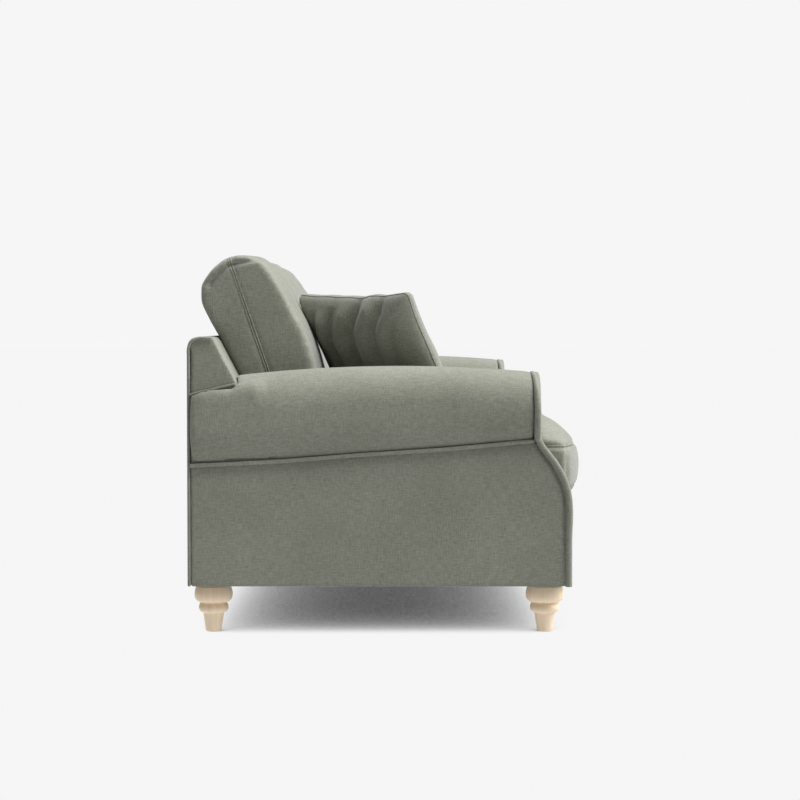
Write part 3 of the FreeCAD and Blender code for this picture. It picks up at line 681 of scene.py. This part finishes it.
# Each seam's height, and how far it draws the cover in.
SEAT_SEAMS = {"top": (0.470, 0.006), "bottom": (0.362, 0.004)}
SEAT_SEAM_WIDTH = 0.007
SEAT_WELT = 0.0022
SEAT_CORNER_SEAM = ((-0.452, 0.478), (-0.452, 0.440), (-0.452, 0.400), (-0.452, 0.356))


def seat_room(points, outward):
    """How far each part of a seat cushion may swell: most at its front and on top."""
    front = np.clip(-outward[:, 1] * 1.5 - 0.3, 0, 1)
    top = np.clip(outward[:, 2] * 1.5 - 0.3, 0, 1) * np.clip((0.10 - points[:, 1]) / 0.1, 0, 1)
    return DRAWN_IN + 0.001 * front + 0.005 * top


for number, part in enumerate(("left", "centre", "right")):
    body = f"seat_cushion_{part}"
    cushion = skin_of(f"boxed_seat_cushion_{part}", f"{body}_cover", voxel=0.010)
    plumped(cushion, seat_room)
    smoothed(cushion, 2)
    subdivided(cushion)
    rumpled(cushion, seed=11.3 * number + 3, height=0.0016, grain=9)
    for height, depth in SEAT_SEAMS.values():
        pinched(cushion, (0, 0, height), (0, 0, 1), depth, SEAT_SEAM_WIDTH)
    low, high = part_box(f"{body}_cover")
    for end in (low.x, high.x):
        corner = [(end, y, z) for y, z in SEAT_CORNER_SEAM]
        facing = (math.copysign(1, end - (low.x + high.x) / 2), 0, 0)
        pressed(cushion, corner, facing, depth=0.005, width=0.006)
    kept_inside(cushion, f"{body}_cover", (0, 0, 0, 0, 0, 0.004))
    cushion.data.materials.append(sage)
    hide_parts(f"{body}_cover")
    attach(cushion, body)
    filled(f"foam_core_{part}", f"{body}_core", cream_foam, body)
    for edge, (height, _) in SEAT_SEAMS.items():
        seam_welt(f"seat_seam_{edge}_{part}", cushion, (0, 0, height), (0, 0, 1), SEAT_WELT, body)


# Loose back cushions: feather-filled, of two halves joined by a wide felled seam that runs up
# the sides and over the top. They stand on the seat and lean on the inside back.
SEAM_FOOT = Vector((0, 0.301, 0.6374))
SEAM_HEAD = Vector((0, 0.4088, 0.9505))
SEAM_FACING = (SEAM_HEAD - SEAM_FOOT).cross(Vector((1, 0, 0)))
FELLED_SEAM_HALF = 0.0032
FELLED_SEAM_CORD = 0.0021
# A point of the inside back, its slope, the gap left before it and the furthest it is reached for.
BACK_TOP = (0.434, 0.740)
BACK_SLOPE = math.radians(27.5)
LEAN_GAP = 0.0015
LEAN_REACH = 0.022
LEAN_SHARE = 0.85
# A cushion's end has a dart at its rear top corner and a crease down its front: the depth and
# half width of each, and points along it.
END_LINES = (
    (0.009, 0.0065, ((0.455, 0.868), (0.4536, 0.881), (0.4075, 0.927), (0.3205, 0.945))),
    (0.005, 0.010, ((0.292, 0.919), (0.251, 0.846), (0.225, 0.780))),
)


def back_room(points, outward):
    """A back cushion swells to the front and at the top, and not against what it leans on."""
    front = np.clip(-outward[:, 1] * 1.5 - 0.2, 0, 1) * np.clip((points[:, 2] - 0.55) / 0.08, 0, 1)
    top = np.clip(outward[:, 2] * 1.5 - 0.4, 0, 1)
    return DRAWN_IN + 0.008 * np.maximum(front, top)


def leaned(piece):
    """Fill the cushion out towards the back that it leans on."""
    points = coordinates(piece.data)
    back_line = BACK_TOP[0] + (points[:, 2] - BACK_TOP[1]) * math.tan(BACK_SLOPE)
    rear = np.clip(1.5 * normals(piece.data)[:, 1] - 0.1, 0, 1)
    below_top = np.clip((0.93 - points[:, 2]) / 0.06, 0, 1)
    gap = np.clip(back_line - LEAN_GAP - points[:, 1], 0, LEAN_REACH)
    points[:, 1] += LEAN_SHARE * (rear * below_top) * gap
    set_coordinates(piece.data, points)


down = cloth("down_proof_cotton", (0.66, 0.65, 0.61), (0.78, 0.77, 0.73),
             across=900, along=300, sheen=0.0, depth=0.0003)
for number, part in enumerate(("left", "centre", "right")):
    body = f"back_cushion_{part}"
    cushion = skin_of(f"back_cushion_cover_{part}", f"{body}_cover", voxel=0.009)
    plumped(cushion, back_room)
    leaned(cushion)
    kept_inside(cushion, f"{body}_cover", (0, 0.004, 0, 0, 0.004, -0.004))
    smoothed(cushion, 2)
    subdivided(cushion)
    rumpled(cushion, seed=7.7 * number + 1, height=0.0022, grain=8)
    pinched(cushion, SEAM_FOOT, SEAM_FACING, depth=0.003, width=0.010)
    low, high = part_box(f"{body}_cover")
    for end in (low.x, high.x):
        facing = (math.copysign(1, end - (low.x + high.x) / 2), 0, 0)
        for depth, width, marks in END_LINES:
            pressed(cushion, [(end, y, z) for y, z in marks], facing, depth, width)
    kept_inside(cushion, f"{body}_cover", (0, 0.004, 0, 0, 0.005, 0))
    cushion.data.materials.append(sage)
    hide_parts(f"{body}_cover")
    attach(cushion, body)
    filled(f"back_filling_{part}", f"{body}_filling", down, body)
    across = SEAM_FACING.normalized() * FELLED_SEAM_HALF
    for line, point in (("front", SEAM_FOOT + across), ("back", SEAM_FOOT - across)):
        seam_welt(f"back_seam_{line}_{part}", cushion, point, SEAM_FACING, FELLED_SEAM_CORD, body)


# Scatter cushions: square feather pads with a plain knife edge, stood in the corners of the
# seat and turned towards its middle. Folds fan out from the top corner of each.
LEAN = math.radians(32)
TURN = math.radians(45)
SCATTER_SEAM_CORD = 0.0016
# Each fold's depth, its half width, and points across and up the pad from its middle.
FOLDS = (
    (0.012, 0.014, ((0.135, 0.165), (0.130, 0.060), (0.105, -0.060))),
    (-0.008, 0.015, ((0.100, 0.165), (0.108, 0.070), (0.080, -0.040))),
    (0.012, 0.013, ((0.060, 0.170), (0.080, 0.080), (0.060, -0.050))),
    (-0.008, 0.015, ((0.015, 0.175), (0.042, 0.090), (0.030, -0.030))),
    (0.014, 0.013, ((-0.040, 0.180), (0.000, 0.100), (0.000, -0.020))),
    (-0.010, 0.016, ((-0.080, 0.180), (-0.045, 0.110), (-0.040, 0.000))),
    (0.016, 0.014, ((-0.125, 0.180), (-0.085, 0.110), (-0.080, 0.010))),
    (0.010, 0.013, ((-0.165, 0.150), (-0.135, 0.080), (-0.130, -0.030))),
)
# The same folds show fainter and wider on the other face.
FAR_DEPTH = 0.3
FAR_WIDTH = 1.3


def scatter_room(points, outward):
    """A scatter cushion swells most at its front."""
    front = np.clip(-outward[:, 1] * 1.5 - 0.2, 0, 1)
    return DRAWN_IN + 0.005 * front


for side, sign in SIDES.items():
    body = f"scatter_cushion_{side}"
    cushion = skin_of(f"scatter_cover_{side}", f"{body}_cover", voxel=0.007)
    plumped(cushion, scatter_room)
    smoothed(cushion, 1)
    subdivided(cushion)
    rumpled(cushion, seed=5.1 * sign, height=0.0035, grain=12)
    low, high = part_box(f"{body}_cover")
    middle = (low + high) / 2
    across = Vector((-sign * math.cos(TURN), math.cos(TURN), 0))
    upward = Vector((sign * math.sin(LEAN) * math.sin(TURN), math.sin(LEAN) * math.cos(TURN),
                     math.cos(LEAN)))
    behind = Vector((sign * math.cos(LEAN) * math.sin(TURN), math.cos(LEAN) * math.cos(TURN),
                     -math.sin(LEAN)))
    for depth, width, marks in FOLDS:
        fold = [middle + across * a + upward * u for a, u in marks]
        pressed(cushion, fold, behind, depth, width)
        pressed(cushion, fold, -behind, depth * FAR_DEPTH, width * FAR_WIDTH)
    kept_inside(cushion, f"{body}_cover")
    cushion.data.materials.append(sage)
    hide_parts(f"{body}_cover")
    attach(cushion, body)
    filled(f"scatter_filling_{side}", f"{body}_filling", down, body)
    seam_welt(f"scatter_seam_{side}", cushion, middle, behind, SCATTER_SEAM_CORD, body)
